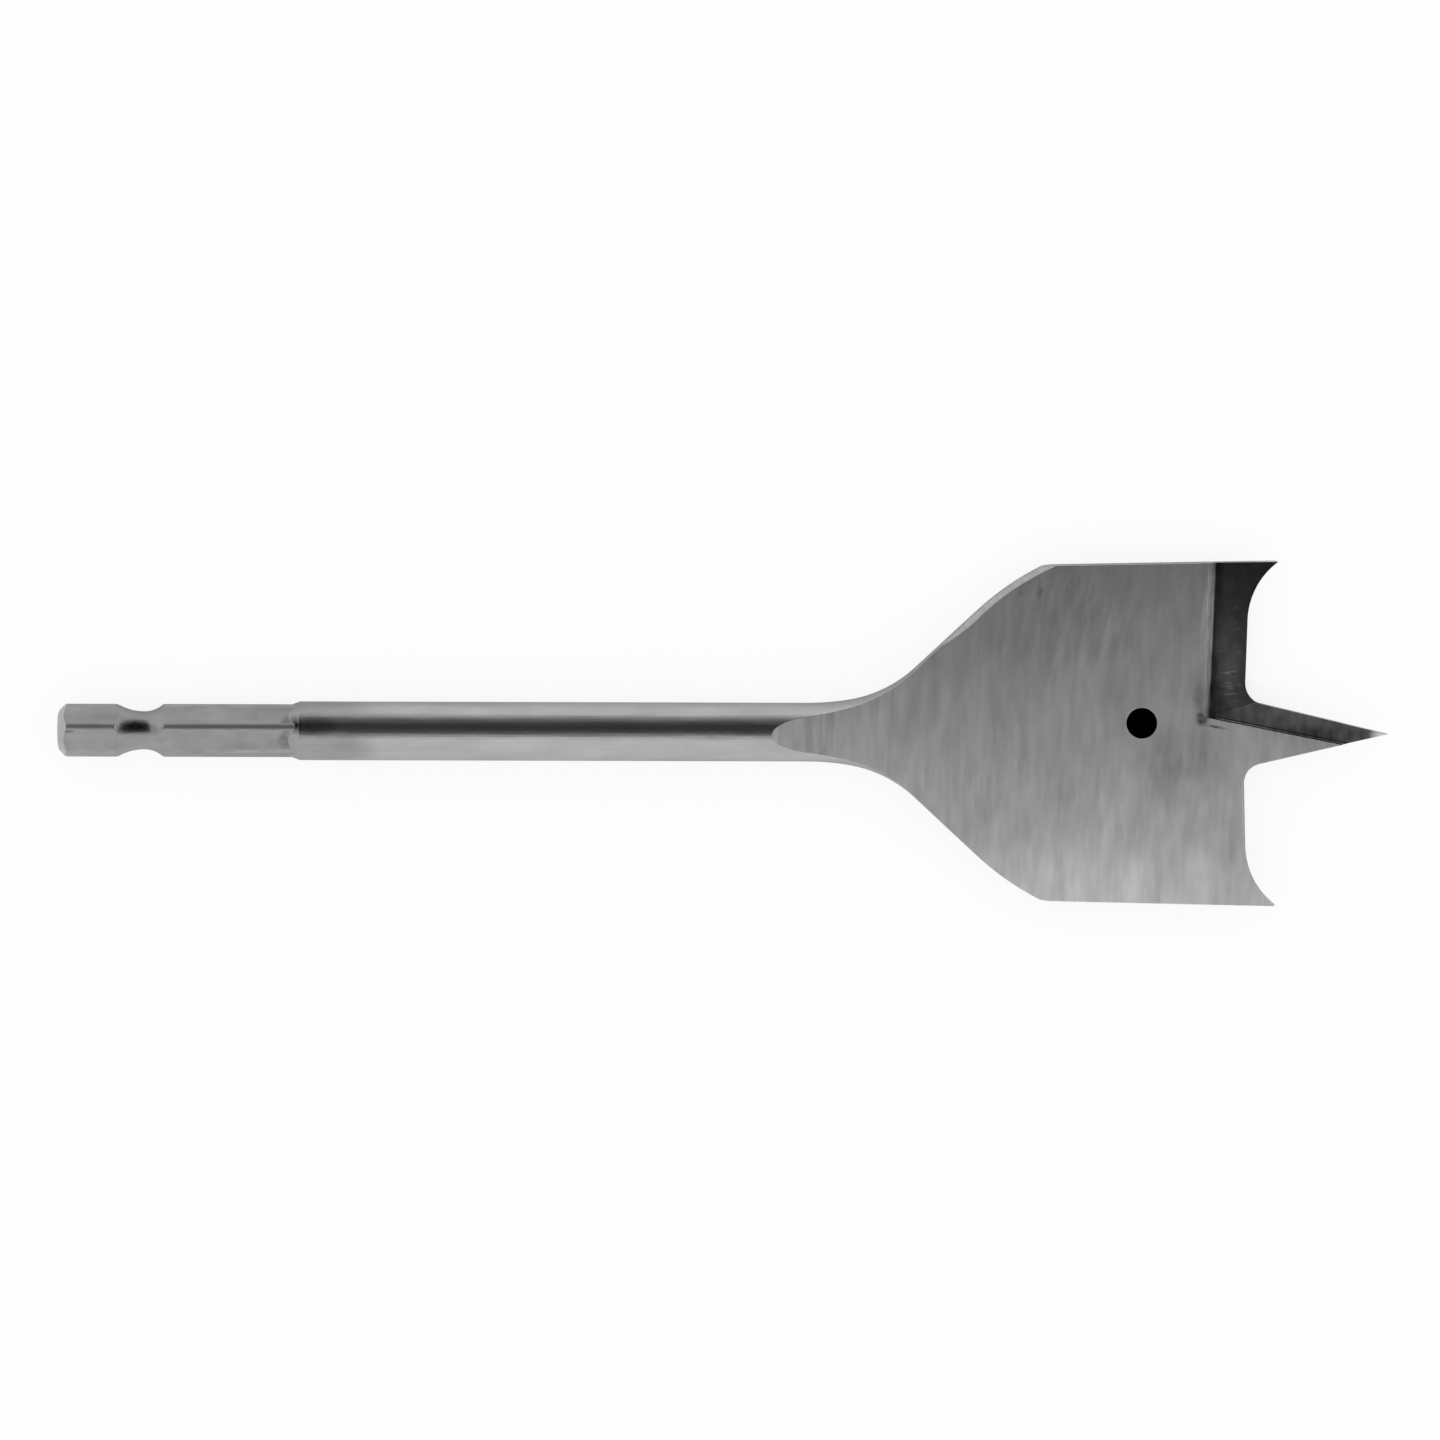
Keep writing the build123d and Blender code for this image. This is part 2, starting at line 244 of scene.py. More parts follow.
# The bit's sizes, in millimetres and degrees. Spare is what a shape is drawn past the bit, to be cut off.
bar = dict(length=167.5, bladeWidth=43.7, shaft=7.4, endFace=4.7, endRound=1.2,
           grooveCentre=10.9, groove=4.8, grooveNear=6.6, grooveFar=3.5,
           easingRadius=32.8, easingAngle=9.4, neckRadius=15.9, flareAngle=42.9,
           shoulderRadius=34.8, shoulderAngle=26.3, overrun=7.0, spare=9.0)
shank = dict(flats=6.35, length=29.1, cornerRound=0.95, cornerPoints=16, turn=15.3, stepAngle=21.0, sides=240,
             spare=20.0, leastFlat=10.0)  # a face of fewer square millimetres than leastFlat is part of a corner
edges = dict(point=18.0, pointAngle=13.25, root=2.8, lipSlope=1.8, spurReach=7.35, spurArc=9.6, land=29.5,
             landFlare=1.15, cornerRadius=8.0, lipRelief=8.0, sideRelief=1.0, neckClearance=3.0)
faces = dict(thickness=2.4, flat=35.4, taper=4.9, blend=150.0, tongue=24.2, wheel=36.0, wheelTurn=45.0)
rake = dict(width=4.55, inner=2.05, depthInner=0.6, depthOuter=0.85, angle=3.0, lean=2.0, fillet=0.4,
            pointTurn=11.3, pointAngle=5.0)
bevel = dict(size=0.65, start=0.9, fade=18.0)
hole = dict(diameter=3.9, fromLips=13.0, offset=1.4, sides=96)
smoothing = dict(arcPoints=12, arcStep=2, cornerStep=4, weld=0.001, crispAngle=6.0)  # arcs have arcPoints or more

shaftRadius = bar["shaft"] / 2
halfWidth = bar["bladeWidth"] / 2
faceHeight = faces["thickness"] / 2
lipsX = bar["length"] - edges["point"]
clear = shaftRadius  # how far a cutter reaches past what it cuts


def draw(start, heading, *moves):  # (length,) runs straight, (radius, turn) bends, to the left where turn is positive
    points, ways = [Vector(start)], [heading]
    for move in moves:
        angle = radians(heading)
        if len(move) == 1:
            points.append(points[-1] + move[0] * Vector((cos(angle), sin(angle))))
            ways.append(heading)
            continue
        radius, turn = move
        side = 1 if turn > 0 else -1
        centre = points[-1] + side * radius * Vector((-sin(angle), cos(angle)))
        steps = max(smoothing["arcPoints"], round(abs(turn) / smoothing["arcStep"]))
        for k in range(1, steps + 1):
            angle = radians(heading + turn * k / steps)
            points.append(centre + side * radius * Vector((sin(angle), -cos(angle))))
            ways.append(degrees(angle))
        heading += turn
    return points, ways


def roundCorner(points, place, radius):  # the same outline with an arc at one of its corners
    corner = points[place]
    before = (points[place - 1] - corner).normalized()
    after = (points[(place + 1) % len(points)] - corner).normalized()
    half = before.angle(after) / 2
    centre = corner + (before + after).normalized() * radius / sin(half)
    start = corner + before * radius / tan(half)
    turn = (pi - 2 * half) * (1 if before.cross(after) < 0 else -1)
    steps = round(abs(degrees(turn)) / smoothing["cornerStep"]) + 1
    arc = [centre + Matrix.Rotation(turn * k / steps, 2) @ (start - centre) for k in range(steps + 1)]
    return points[:place] + arc + points[place + 1:]


def makeCutter(name, rings):  # a closed solid between two rings of points
    shape = bmesh.new()
    low, high = ([shape.verts.new(p) for p in ring] for ring in rings)
    shape.faces.new(low)
    shape.faces.new(high)
    for k in range(len(low)):
        shape.faces.new((low[k - 1], low[k], high[k], high[k - 1]))
    bmesh.ops.recalc_face_normals(shape, faces=shape.faces)
    mesh = bpy.data.meshes.new(name)
    shape.to_mesh(mesh)
    shape.free()
    thing = bpy.data.objects.new(name, mesh)
    scene.collection.objects.link(thing)
    return thing


def twin(thing, name, turned):  # the same solid, turned by a matrix
    mesh = thing.data.copy()
    mesh.transform(turned)
    copy = bpy.data.objects.new(name, mesh)
    scene.collection.objects.link(copy)
    return copy


# Half outline of the forged bar, turned about the X axis: end, groove, shaft, neck, flare and shoulder
grooveDrop = shaftRadius - bar["groove"] / 2
nearRun = sqrt(grooveDrop * (2 * bar["grooveNear"] - grooveDrop))
farRun = sqrt(grooveDrop * (2 * bar["grooveFar"] - grooveDrop))
nearTurn = degrees(asin(nearRun / bar["grooveNear"]))
farTurn = degrees(asin(farRun / bar["grooveFar"]))
rim = bar["endRound"] * tan(pi / 8)  # width of the rounding that leads into the end's 45 degree chamfer
endFace = bar["endFace"] / 2
barEnd, _ = draw((0, endFace - rim), 90, (bar["endRound"], -45))
grooveWall, _ = draw((bar["grooveCentre"] - nearRun, shaftRadius), -nearTurn,
                     (bar["grooveNear"], nearTurn), (bar["grooveFar"], farTurn))

flare = radians(bar["flareAngle"])
shoulder = radians(bar["shoulderAngle"])
easing = radians(bar["easingAngle"])
leanX = tan(radians(edges["lipRelief"]))
leanY = tan(radians(edges["sideRelief"]))
flankSlope = tan(radians(edges["pointAngle"]))
flanksMeet = bar["length"] + faceHeight * (leanX + leanY / flankSlope)
rootY = (flanksMeet - lipsX) * flankSlope
lipTop = halfWidth - edges["spurReach"]
lipEnd = Vector((lipsX + (lipTop - rootY) * tan(radians(edges["lipSlope"])), lipTop))
spurTurn = degrees(asin(edges["spurReach"] / edges["spurArc"] + sin(radians(edges["lipSlope"])))) - edges["lipSlope"]
landLength = edges["land"] / cos(radians(edges["landFlare"]))
spur, _ = draw(lipEnd, 90 - edges["lipSlope"], (edges["spurArc"], -spurTurn))
landEnd = draw(spur[-1], 180 + edges["landFlare"], (landLength,))[0][-1]
shoulderStart = landEnd - bar["shoulderRadius"] * Vector((sin(flare) - sin(shoulder), cos(shoulder) - cos(flare)))
neckRun = bar["neckRadius"] * (sin(flare) - sin(easing)) + bar["easingRadius"] * sin(easing)
neckRise = bar["neckRadius"] * (cos(easing) - cos(flare)) + bar["easingRadius"] * (1 - cos(easing))
flareLength = (shoulderStart.y - neckRise - shaftRadius) / sin(flare)
neckStart = shoulderStart.x - flareLength * cos(flare) - neckRun
shoulderTurn = bar["shoulderAngle"] - bar["overrun"] - bar["flareAngle"]
neck, _ = draw((neckStart, shaftRadius), 0, (bar["easingRadius"], bar["easingAngle"]),
               (bar["neckRadius"], bar["flareAngle"] - bar["easingAngle"]), (flareLength,),
               (bar["shoulderRadius"], shoulderTurn), (bar["bladeWidth"],))
barOutline = [Vector((0, 0))] + barEnd + [Vector((shaftRadius - endFace, shaftRadius))] + grooveWall + neck
barStop = bar["length"] + bar["spare"]
barOutline += [Vector((barStop, barOutline[-1].y)), Vector((barStop, 0))]
outlineMesh = bpy.data.meshes.new("barOutline")
outlineMesh.from_pydata([(p.x, p.y, 0) for p in barOutline], [(k, k + 1) for k in range(len(barOutline) - 1)], [])
outlineThing = bpy.data.objects.new("barOutline", outlineMesh)
scene.collection.objects.link(outlineThing)
print("outline of the bar:", len(barOutline), "points")

# What the ground faces leave, seen from the side: flat, blend, taper and the wheel's run-out
taper = radians(faces["taper"])
taperWay = Vector((cos(taper), -sin(taper)))
taperStart = Vector((lipsX - faces["flat"], faceHeight))
bite = Vector((-faces["tongue"], shaftRadius - faceHeight))
biteHeight = bite.dot(Vector((sin(taper), cos(taper))))
biteRun = sqrt(biteHeight * (2 * faces["wheel"] - biteHeight))
wheelFoot = taperStart + taperWay * (bite.dot(taperWay) + biteRun)
runOut, _ = draw(wheelFoot, 180 - faces["taper"], (faces["wheel"], -faces["wheelTurn"]))
blendTangent = faces["blend"] * tan(taper / 2)
blend, _ = draw(taperStart + taperWay * -blendTangent, -faces["taper"], (faces["blend"], faces["taper"]))
top = [Vector((bar["length"] + clear, faceHeight))] + blend[::-1] + runOut + [Vector((-clear, runOut[-1].y))]
side = top + [Vector((p.x, -p.y)) for p in reversed(top)]
groundFaces = makeCutter("groundFaces", [[(p.x, y, p.y) for p in side]
                                         for y in (-bar["bladeWidth"], bar["bladeWidth"])])

# What the edge grinding leaves, seen from above: point, root, lip, spur, side land and corner, leaning back under the
# edges. The far half is left to the same shape turned round.
far = 1.5 * halfWidth  # well past the other half's edges
neckWay = shoulder + pi - radians(edges["neckClearance"])
besideNeck = landEnd + halfWidth * Vector((cos(neckWay), sin(neckWay)))
outline = [Vector((flanksMeet + far / flankSlope, -far)), Vector((lipsX, rootY))] + spur
outline += [landEnd, besideNeck, Vector((-clear, besideNeck.y)), Vector((-clear, -far))]
outline = roundCorner(outline, 2 + len(spur), edges["cornerRadius"])
outline = roundCorner(outline, 1, edges["root"])
reach = 2 * bar["shaft"]
upperEdges = makeCutter("upperEdges", [[(p.x + leanX * h, p.y + leanY * h, faceHeight + h) for p in outline]
                                       for h in (-reach, reach)])
halfTurn = Matrix.Rotation(pi, 4, "X")
lowerEdges = twin(upperEdges, "lowerEdges", halfTurn)

# Bevel left round one shoulder of each face, leaning in at 45 degrees
size = bevel["size"]
bevelFoot = shoulderStart - bevel["start"] * Vector((cos(flare), sin(flare)))
bevelStart = bevelFoot - bevel["fade"] * Vector((sin(flare), 1 - cos(flare)))
foot, ways = draw(bevelStart, 0, (bevel["fade"], bar["flareAngle"]), (bevel["start"],),
                  (bar["shoulderRadius"], shoulderTurn), (2 * clear,))
topY = foot[-1].y + clear
rings = []
for h in (0, 2 * size):
    ring = [p + h * Vector((sin(radians(w)), -cos(radians(w)))) for p, w in zip(foot, ways)]
    ring += [Vector((ring[-1].x, topY)), Vector((ring[0].x, topY))]
    rings.append([(p.x, p.y, faceHeight - size + h) for p in ring])
bevelUpper = makeCutter("bevelUpper", rings)
bevelCutters = [bevelUpper, twin(bevelUpper, "bevelLower", halfTurn)]

# Rake hollow: a leg behind the lip, deepening out to the spur, and a leg along the point
rakeFoot = Vector((lipsX - rake["width"], rake["inner"], faceHeight - rake["depthInner"]))
fall = (rake["depthOuter"] - rake["depthInner"]) / (halfWidth - rake["inner"])
leanWall = tan(radians(rake["lean"]))
turnX, turnY = cos(radians(rake["pointTurn"])), sin(radians(rake["pointTurn"]))


# A prism along the foot, from start to end, whose floor rises across it at slope and whose wall ends at wallTop
def rakeLeg(name, across, along, reach, slope, wallTop, start, end):
    across, along = across.normalized(), along.normalized()
    up = along.cross(across)
    section = [Vector((0, 0)), Vector((reach, reach * tan(radians(slope)))), Vector((reach, clear)),
               Vector((wallTop, clear))]
    section = roundCorner(section, 0, rake["fillet"])
    return makeCutter(name, [[rakeFoot + along * t + across * p.x + up * p.y for p in section] for t in (start, end)])


lipLeg = rakeLeg("rakeLip", Vector((1, -leanWall, 0)), Vector((-leanWall, -1, fall)), rake["width"] + 2 * clear,
                 rake["angle"], -clear, 0, -halfWidth - clear)
pointLeg = rakeLeg("rakePoint", Vector((turnY, turnX, 0)), Vector((turnX, -turnY, 0)), rootY + clear,
                   rake["pointAngle"], 0, 0, rake["width"] + edges["point"] + 2 * clear)
rakeCutters = [lipLeg, pointLeg] + [twin(leg, leg.name + "Back", halfTurn) for leg in (lipLeg, pointLeg)]
cutterSteels = [(groundFaces, groundSteel), (upperEdges, edgeSteel), (lowerEdges, edgeSteel)]
cutterSteels += [(cutter, bevelSteel) for cutter in bevelCutters] + [(cutter, rakeSteel) for cutter in rakeCutters]
print("cutters drawn")

# The tree that turns the bar, gives it its flats and grinds it with the cutters, in millimetres
bitTree = bpy.data.node_groups.new("spadeBitGrinding", "GeometryNodeTree")
bitTree.interface.new_socket("Geometry", in_out="OUTPUT", socket_type="NodeSocketGeometry")
treeInputs = [("Bar Outline", "NodeSocketObject", outlineThing), ("Sides", "NodeSocketInt", shank["sides"]),
              ("Across Flats", "NodeSocketFloat", shank["flats"]),
              ("Corner Round", "NodeSocketFloat", shank["cornerRound"]),
              ("Shank Turn", "NodeSocketFloat", radians(shank["turn"])),
              ("Hex Length", "NodeSocketFloat", shank["length"]),
              ("Step Slope", "NodeSocketFloat", tan(radians(shank["stepAngle"]))),
              ("Hole Diameter", "NodeSocketFloat", hole["diameter"]),
              ("Hole Place", "NodeSocketVector", (lipsX - hole["fromLips"], hole["offset"], 0))]
sockets = {name: bitTree.interface.new_socket(name, in_out="INPUT", socket_type=kind) for name, kind, _ in treeInputs}
given = addNode(bitTree, "NodeGroupInput").outputs

# bar: each column of a sheet takes a point of the outline and each row turns it further about the X axis
outlinePoints = addNode(bitTree, "GeometryNodeObjectInfo", {"Object": given["Bar Outline"]}).outputs["Geometry"]
count = addNode(bitTree, "GeometryNodeAttributeDomainSize", {"Geometry": outlinePoints}).outputs["Point Count"]
ringPoints = addNode(bitTree, "FunctionNodeIntegerMath", {0: given["Sides"], 1: 1}, operation="ADD").outputs[0]
sheet = addNode(bitTree, "GeometryNodeMeshGrid", {"Vertices X": count, "Vertices Y": ringPoints}).outputs["Mesh"]
index = addNode(bitTree, "GeometryNodeInputIndex").outputs[0]
column = addNode(bitTree, "FunctionNodeIntegerMath", {0: index, 1: ringPoints}, operation="DIVIDE_FLOOR").outputs[0]
row = addNode(bitTree, "FunctionNodeIntegerMath", {0: index, 1: ringPoints}, operation="MODULO").outputs[0]
place = addNode(bitTree, "GeometryNodeInputPosition").outputs[0]
onOutline = addNode(bitTree, "GeometryNodeSampleIndex", {"Geometry": outlinePoints, "Value": place, "Index": column},
                    data_type="FLOAT_VECTOR").outputs[0]
oneStep = addNode(bitTree, "ShaderNodeMath", {0: -2 * pi, 1: given["Sides"]}, operation="DIVIDE").outputs[0]
angle = addNode(bitTree, "ShaderNodeMath", {0: row, 1: oneStep}, operation="MULTIPLY").outputs[0]
turned = addNode(bitTree, "ShaderNodeVectorRotate", {"Vector": onOutline, "Angle": angle},
                 rotation_type="X_AXIS").outputs[0]
moved = addNode(bitTree, "GeometryNodeSetPosition", {"Geometry": sheet, "Position": turned}).outputs[0]
turnedBar = addNode(bitTree, "GeometryNodeMergeByDistance",
                    {"Geometry": moved, "Distance": smoothing["weld"]}).outputs[0]

# hexagon with rounded corners, drawn out along the shank, and the cone that climbs from it to the shaft
halfFlats = addNode(bitTree, "ShaderNodeMath", {0: given["Across Flats"], 1: 0.5}, operation="MULTIPLY").outputs[0]
corners = addNode(bitTree, "ShaderNodeMath", {0: given["Across Flats"], 1: sqrt(3)}, operation="DIVIDE").outputs[0]
hexRing = addNode(bitTree, "GeometryNodeCurvePrimitiveCircle", {"Resolution": 6, "Radius": corners}).outputs["Curve"]
rounded = addNode(bitTree, "GeometryNodeFilletCurve", {"Curve": hexRing, "Radius": given["Corner Round"],
                                                       "Count": shank["cornerPoints"]}, mode="POLY").outputs[0]
cornerUp = addNode(bitTree, "ShaderNodeCombineXYZ", {2: given["Shank Turn"]}).outputs[0]
section = addNode(bitTree, "GeometryNodeTransform", {"Geometry": rounded, "Rotation": cornerUp}).outputs[0]
beyondHex = addNode(bitTree, "ShaderNodeMath", {0: given["Hex Length"], 1: clear}, operation="ADD").outputs[0]
pathEnd = addNode(bitTree, "ShaderNodeCombineXYZ", {0: beyondHex}).outputs[0]
path = addNode(bitTree, "GeometryNodeCurvePrimitiveLine", {"Start": (-clear, 0, 0), "End": pathEnd}).outputs["Curve"]
hexagon = addNode(bitTree, "GeometryNodeCurveToMesh",
                  {"Curve": path, "Profile Curve": section, "Fill Caps": True}).outputs[0]
coneLength = bar["length"] + shank["spare"]
coneTop = addNode(bitTree, "ShaderNodeMath", {0: given["Step Slope"], 1: coneLength, 2: halfFlats},
                  operation="MULTIPLY_ADD").outputs[0]
coneShape = addNode(bitTree, "GeometryNodeMeshCone",
                    {"Vertices": given["Sides"], "Radius Top": coneTop, "Radius Bottom": halfFlats,
                     "Depth": coneLength}).outputs["Mesh"]
coneStart = addNode(bitTree, "ShaderNodeCombineXYZ", {0: given["Hex Length"]}).outputs[0]
cone = addNode(bitTree, "GeometryNodeTransform",
               {"Geometry": coneShape, "Rotation": (0, pi / 2, 0), "Translation": coneStart}).outputs[0]

drillRadius = addNode(bitTree, "ShaderNodeMath", {0: given["Hole Diameter"], 1: 0.5}, operation="MULTIPLY").outputs[0]
drillShape = addNode(bitTree, "GeometryNodeMeshCylinder",
                     {"Vertices": hole["sides"], "Radius": drillRadius, "Depth": 2 * bar["shaft"]}).outputs["Mesh"]
drill = addNode(bitTree, "GeometryNodeTransform",
                {"Geometry": drillShape, "Translation": given["Hole Place"]}).outputs[0]

# every face of a shape carries the number of the finish that the shape leaves on the bit, and so do the faces it cuts
shapes = {"bar": (turnedBar, drawnSteel), "hexagon": (hexagon, hexSteel), "cone": (cone, drawnSteel),
          "drill": (drill, drilledSteel)}
for thing, material in cutterSteels:
    shapes[thing.name] = (addNode(bitTree, "GeometryNodeObjectInfo", {"Object": thing}).outputs["Geometry"], material)
for name, (shape, material) in shapes.items():
    shapes[name] = addNode(bitTree, "GeometryNodeStoreNamedAttribute",
                           {"Geometry": shape, "Name": "finish", "Value": finishes.index(material)},
                           domain="FACE", data_type="INT").outputs[0]
area = addNode(bitTree, "GeometryNodeInputMeshFaceArea").outputs[0]
narrow = addNode(bitTree, "FunctionNodeCompare", {"A": area, "B": shank["leastFlat"]},
                 operation="LESS_THAN").outputs[0]
shapes["hexagon"] = addNode(bitTree, "GeometryNodeStoreNamedAttribute",
                            {"Geometry": shapes["hexagon"], "Selection": narrow, "Name": "finish",
                             "Value": finishes.index(cornerSteel)}, domain="FACE", data_type="INT").outputs[0]

steps = [("UNION", ["hexagon", "cone"]), ("INTERSECT", ["bar", "groundFaces", "upperEdges", "lowerEdges"]),
         ("DIFFERENCE", [cutter.name for cutter in bevelCutters + rakeCutters] + ["drill"])]
solid = []
for operation, names in steps:
    tools = [shapes[name] for name in names]
    meshes = {"Mesh 1": solid, "Mesh 2": tools} if operation == "DIFFERENCE" else {"Mesh 2": solid + tools}
    solid = [addNode(bitTree, "GeometryNodeMeshBoolean", meshes, operation=operation,
                     solver="MANIFOLD").outputs["Mesh"]]
toMetres = addNode(bitTree, "GeometryNodeTransform", {"Geometry": solid, "Scale": (mm, mm, mm)}).outputs[0]
whole = addNode(bitTree, "GeometryNodeRealizeInstances", {"Geometry": toMetres}).outputs[0]
smooth = addNode(bitTree, "GeometryNodeSetShadeSmooth", {"Geometry": whole, "Shade Smooth": True},
                 domain="FACE").outputs[0]
bend = addNode(bitTree, "GeometryNodeInputMeshEdgeAngle").outputs["Unsigned Angle"]
crisp = addNode(bitTree, "FunctionNodeCompare", {"A": bend, "B": radians(smoothing["crispAngle"])},
                operation="GREATER_THAN").outputs[0]
dressed = addNode(bitTree, "GeometryNodeSetShadeSmooth",
                  {"Geometry": smooth, "Selection": crisp, "Shade Smooth": False}, domain="EDGE").outputs[0]
finish = addNode(bitTree, "GeometryNodeInputNamedAttribute", {"Name": "finish"}, data_type="INT").outputs[0]
for k, material in enumerate(finishes):
    chosen = addNode(bitTree, "FunctionNodeCompare", {2: finish, 3: k}, data_type="INT", operation="EQUAL").outputs[0]
    dressed = addNode(bitTree, "GeometryNodeSetMaterial",
                      {"Geometry": dressed, "Selection": chosen, "Material": material}).outputs[0]
addNode(bitTree, "NodeGroupOutput", {"Geometry": dressed})

bitMaker = bpy.data.objects.new("spadeBitMaker", bpy.data.meshes.new("spadeBitMaker"))
scene.collection.objects.link(bitMaker)
maker = bitMaker.modifiers.new("grinding", "NODES")
maker.node_group = bitTree
for name, _, value in treeInputs:
    maker[sockets[name].identifier] = value
evener = bitMaker.modifiers.new("evenNormals", "WEIGHTED_NORMAL")  # wide flats keep their own direction
evener.keep_sharp = True
bpy.context.view_layer.update()
made = bpy.data.meshes.new_from_object(bitMaker.evaluated_get(bpy.context.evaluated_depsgraph_get()))
made.name = "spadeBitSteel"
made.materials.pop(index=0)  # the empty slot that the tree's own shapes brought
spadeBit = bpy.data.objects.new("spadeBitSteel", made)
scene.collection.objects.link(spadeBit)
for thing in [bitMaker, outlineThing] + [cutter for cutter, _ in cutterSteels]:
    bpy.data.objects.remove(thing)
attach(spadeBit, "root")
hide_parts("spade_bit")
print("made", len(made.vertices), "vertices", len(made.polygons), "faces")

# Studio, in metres: a pale floor, a white room, and a dark card above that only the steel mirrors. The floor is white
# to the camera and in the steel, but for the shade close to the bit, and a black pad under the hole is a painted
# shadow that makes the hole look deep.
studio = dict(floorColour="#f4f4f4", floorHalf=4.0, gap=0.00002, shadeReach=0.03, shadeSamples=4, whiteness=0.95,
              mirroredShade=1.6, shadowPadRadius=0.0035, shadowPadPoints=48, roomLight=0.9, roomSeen=1.0,
              cardHeight=0.13, cardNear=-0.08, cardFar=0.65, cardStart=-0.07, cardEnd=0.195)
floorShades = [(0.0, 0.4), (0.2, 0.92), (0.5, 0.97), (1.0, 1.0)]  # openness of the place and the shade there
cardShades = [(-0.08, 1.0), (-0.048, 0.95), (-0.0227, 0.46), (0.0035, 0.135), (0.0295, 0.06), (0.0588, 0.055),
              (0.095, 0.08), (0.145, 0.18), (0.237, 0.47), (0.498, 0.93), (0.65, 1.0)]  # Y on the card, shade there


def seenRays(tree):  # 1 for rays from the camera, in reflections and through glass, 0 for the light itself
    path = addNode(tree, "ShaderNodeLightPath").outputs
    mirror = addNode(tree, "ShaderNodeMath", {0: path["Is Glossy Ray"], 1: path["Is Transmission Ray"]},
                     operation="MAXIMUM").outputs[0]
    seen = addNode(tree, "ShaderNodeMath", {0: path["Is Camera Ray"], 1: mirror}, operation="MAXIMUM").outputs[0]
    return seen, path["Is Glossy Ray"]


def fillRamp(ramp, stops):
    for k, (place, level) in enumerate(stops):
        stop = ramp.elements[k] if k < 2 else ramp.elements.new(place)
        stop.position = place
        stop.color = (level, level, level, 1)


def addPanel(name, corners, material):
    mesh = bpy.data.meshes.new(name)
    mesh.from_pydata(corners, [], [tuple(range(len(corners)))])
    mesh.materials.append(material)
    panel = bpy.data.objects.new(name, mesh)
    scene.collection.objects.link(panel)
    return panel


floorMaterial = bpy.data.materials.new("paperFloor")
tree = emptyTree(floorMaterial)
seen, inSteel = seenRays(tree)
white = addNode(tree, "ShaderNodeMath", {0: seen, 1: studio["whiteness"]}, operation="MULTIPLY").outputs[0]
openness = addNode(tree, "ShaderNodeAmbientOcclusion", {"Distance": studio["shadeReach"]},
                   samples=studio["shadeSamples"]).outputs["AO"]
shade = addNode(tree, "ShaderNodeValToRGB", {"Fac": openness})
fillRamp(shade.color_ramp, floorShades)
mirrored = addNode(tree, "ShaderNodeMath", {0: openness, 1: studio["mirroredShade"]}, operation="POWER").outputs[0]
shown = addNode(tree, "ShaderNodeMix", {"Factor": inSteel, 6: shade.outputs[0], 7: mirrored},
                data_type="RGBA").outputs[2]
paper = addNode(tree, "ShaderNodeBsdfDiffuse", {"Color": toLinear(studio["floorColour"])}).outputs[0]
glow = addNode(tree, "ShaderNodeEmission", {"Color": shown, "Strength": 1.0}).outputs[0]
mixed = addNode(tree, "ShaderNodeMixShader", {0: white, 1: paper, 2: glow}).outputs[0]
addNode(tree, "ShaderNodeOutputMaterial", {"Surface": mixed})
middleX = (cadBox[0].x + cadBox[1].x) / 2
under = cadBox[0].z - studio["gap"]
half = studio["floorHalf"]
addPanel("floor", [(middleX + x, y, under) for x, y in ((-half, -half), (half, -half), (half, half), (-half, half))],
         floorMaterial)

# painted shadow: a black disc on the floor under the hole stands in for the shade seen through it
paintedShadowMaterial = bpy.data.materials.new("blackPad")
tree = emptyTree(paintedShadowMaterial)
black = addNode(tree, "ShaderNodeBsdfDiffuse", {"Color": (0, 0, 0, 1)}).outputs[0]
addNode(tree, "ShaderNodeOutputMaterial", {"Surface": black})
shadowPadCentre = Vector((lipsX - hole["fromLips"], hole["offset"])) * mm
shadowPadTurns = [2 * pi * k / studio["shadowPadPoints"] for k in range(studio["shadowPadPoints"])]
shadowPadPoints = [shadowPadCentre + studio["shadowPadRadius"] * Vector((cos(turn), sin(turn))) for turn in shadowPadTurns]
addPanel("blackPad", [(p.x, p.y, under + studio["gap"] / 2) for p in shadowPadPoints], paintedShadowMaterial)

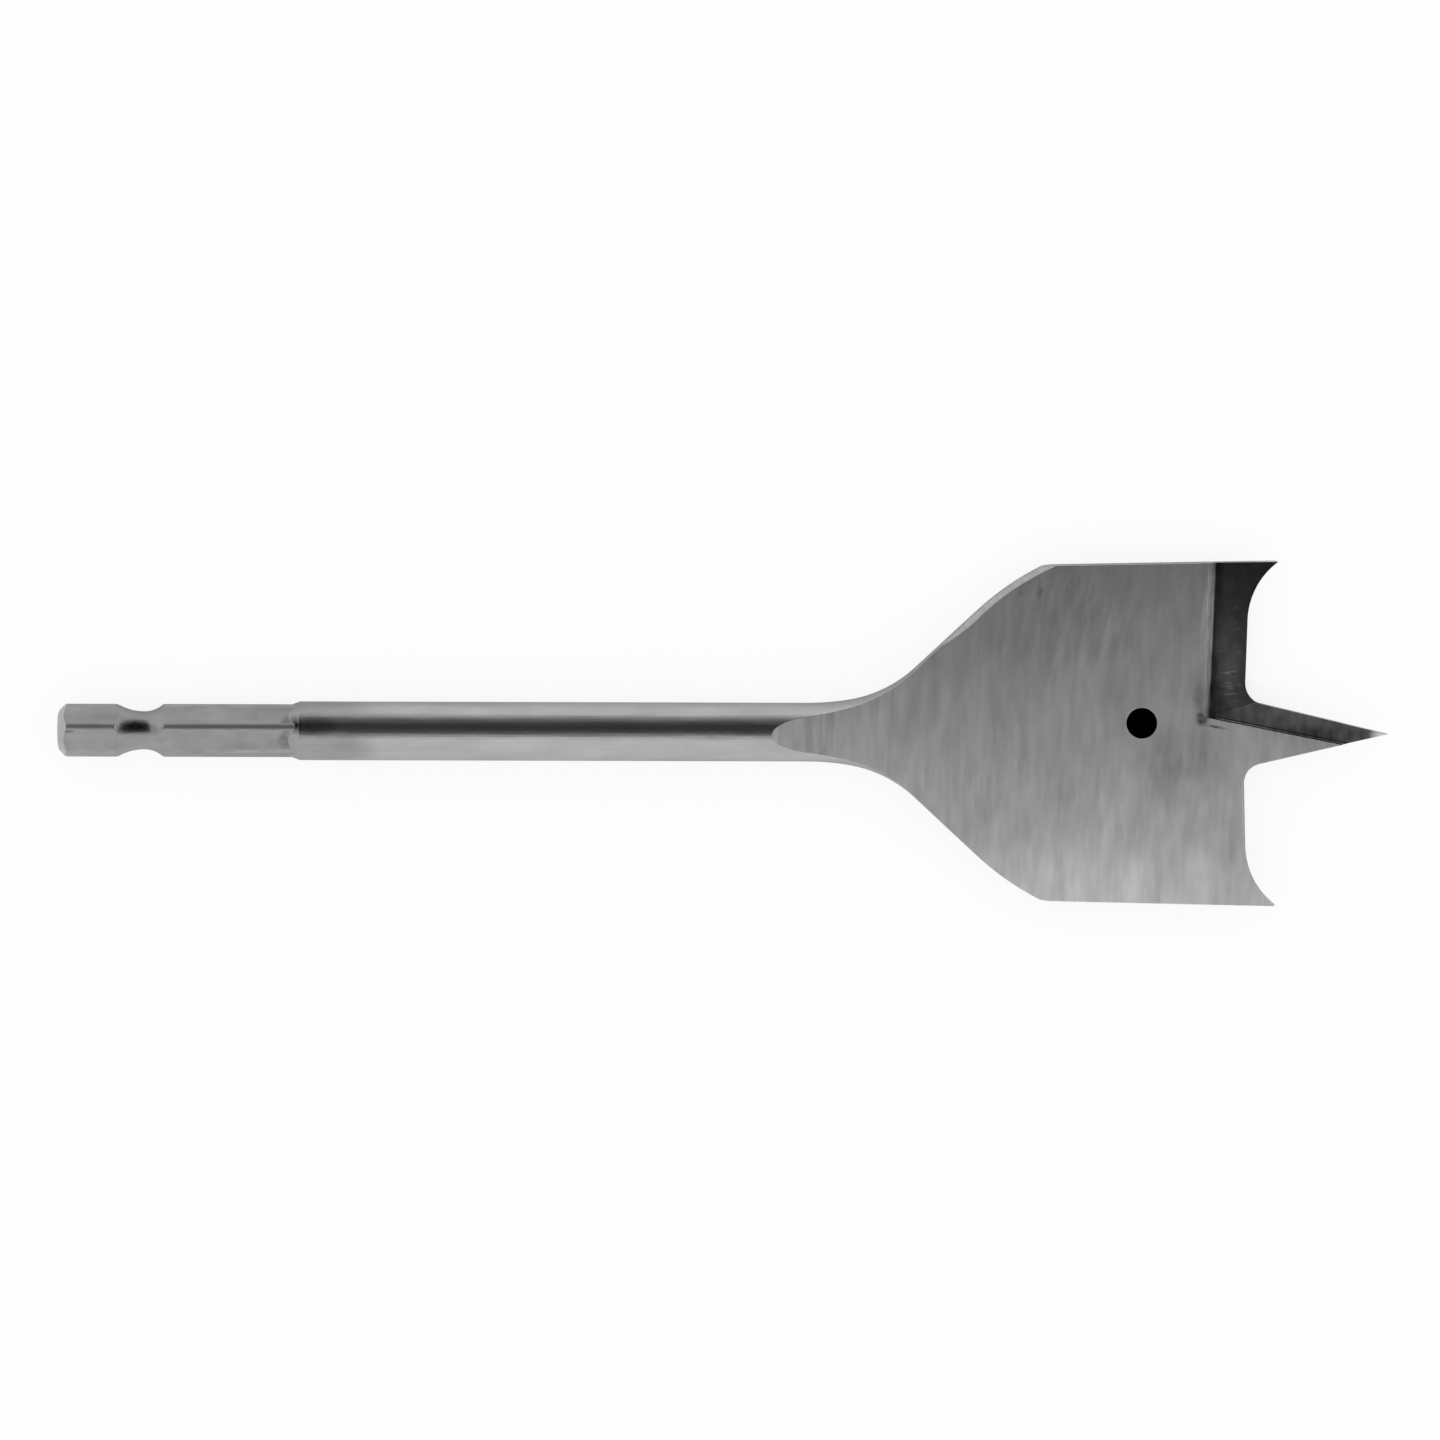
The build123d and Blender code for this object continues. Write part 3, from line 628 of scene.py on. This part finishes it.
cardMaterial = bpy.data.materials.new("shadedCard")
tree = emptyTree(cardMaterial)
place = addNode(tree, "ShaderNodeTexCoord").outputs["Object"]
cardY = addNode(tree, "ShaderNodeSeparateXYZ", {0: place}).outputs["Y"]
across = addNode(tree, "ShaderNodeMapRange",
                 {"Value": cardY, "From Min": studio["cardNear"], "From Max": studio["cardFar"]}).outputs[0]
shade = addNode(tree, "ShaderNodeValToRGB", {"Fac": across})
cardDepth = studio["cardFar"] - studio["cardNear"]
fillRamp(shade.color_ramp, [((y - studio["cardNear"]) / cardDepth, level) for y, level in cardShades])
glow = addNode(tree, "ShaderNodeEmission", {"Color": shade.outputs[0]}).outputs[0]
addNode(tree, "ShaderNodeOutputMaterial", {"Surface": glow})
cardCorners = [("cardStart", "cardNear"), ("cardStart", "cardFar"), ("cardEnd", "cardFar"), ("cardEnd", "cardNear")]
card = addPanel("shadedCard", [(studio[x], studio[y], studio["cardHeight"]) for x, y in cardCorners], cardMaterial)
card.visible_camera = False
card.visible_diffuse = False
card.visible_shadow = False

world = bpy.data.worlds.new("whiteRoom")
scene.world = world
tree = emptyTree(world)
seen, _ = seenRays(tree)
strength = addNode(tree, "ShaderNodeMapRange",
                   {"Value": seen, "To Min": studio["roomLight"], "To Max": studio["roomSeen"]}).outputs[0]
white = addNode(tree, "ShaderNodeBackground", {"Color": (1, 1, 1, 1), "Strength": strength}).outputs[0]
addNode(tree, "ShaderNodeOutputWorld", {"Surface": white})

scene.view_settings.view_transform = "Standard"

# Camera: long lens, leaning 7 degrees towards the upper spur, as the photo does. Width is what the picture spans at
# the bit, in metres.
view = dict(tilt=7.0, roll=0.16, width=0.18144, distance=1.5, centre=(0.0834, 0.0015), sensor=36, sight=20)
back = Vector((0, sin(radians(view["tilt"])), cos(radians(view["tilt"]))))
upward = Vector((0, back.z, -back.y))
aim = Vector((view["centre"][0], 0, 0)) + upward * view["centre"][1]
lens = bpy.data.cameras.new("camera")
lens.sensor_width = view["sensor"]
lens.lens = view["sensor"] * view["distance"] / view["width"]
lens.clip_end = view["sight"]
camera = bpy.data.objects.new("camera", lens)
scene.collection.objects.link(camera)
roll = Matrix.Rotation(radians(view["roll"]), 3, back)
turnedView = Matrix((roll @ Vector((1, 0, 0)), roll @ upward, back)).transposed().to_4x4()
camera.matrix_world = Matrix.Translation(aim + back * view["distance"]) @ turnedView
scene.camera = camera
print("studio and camera ready")
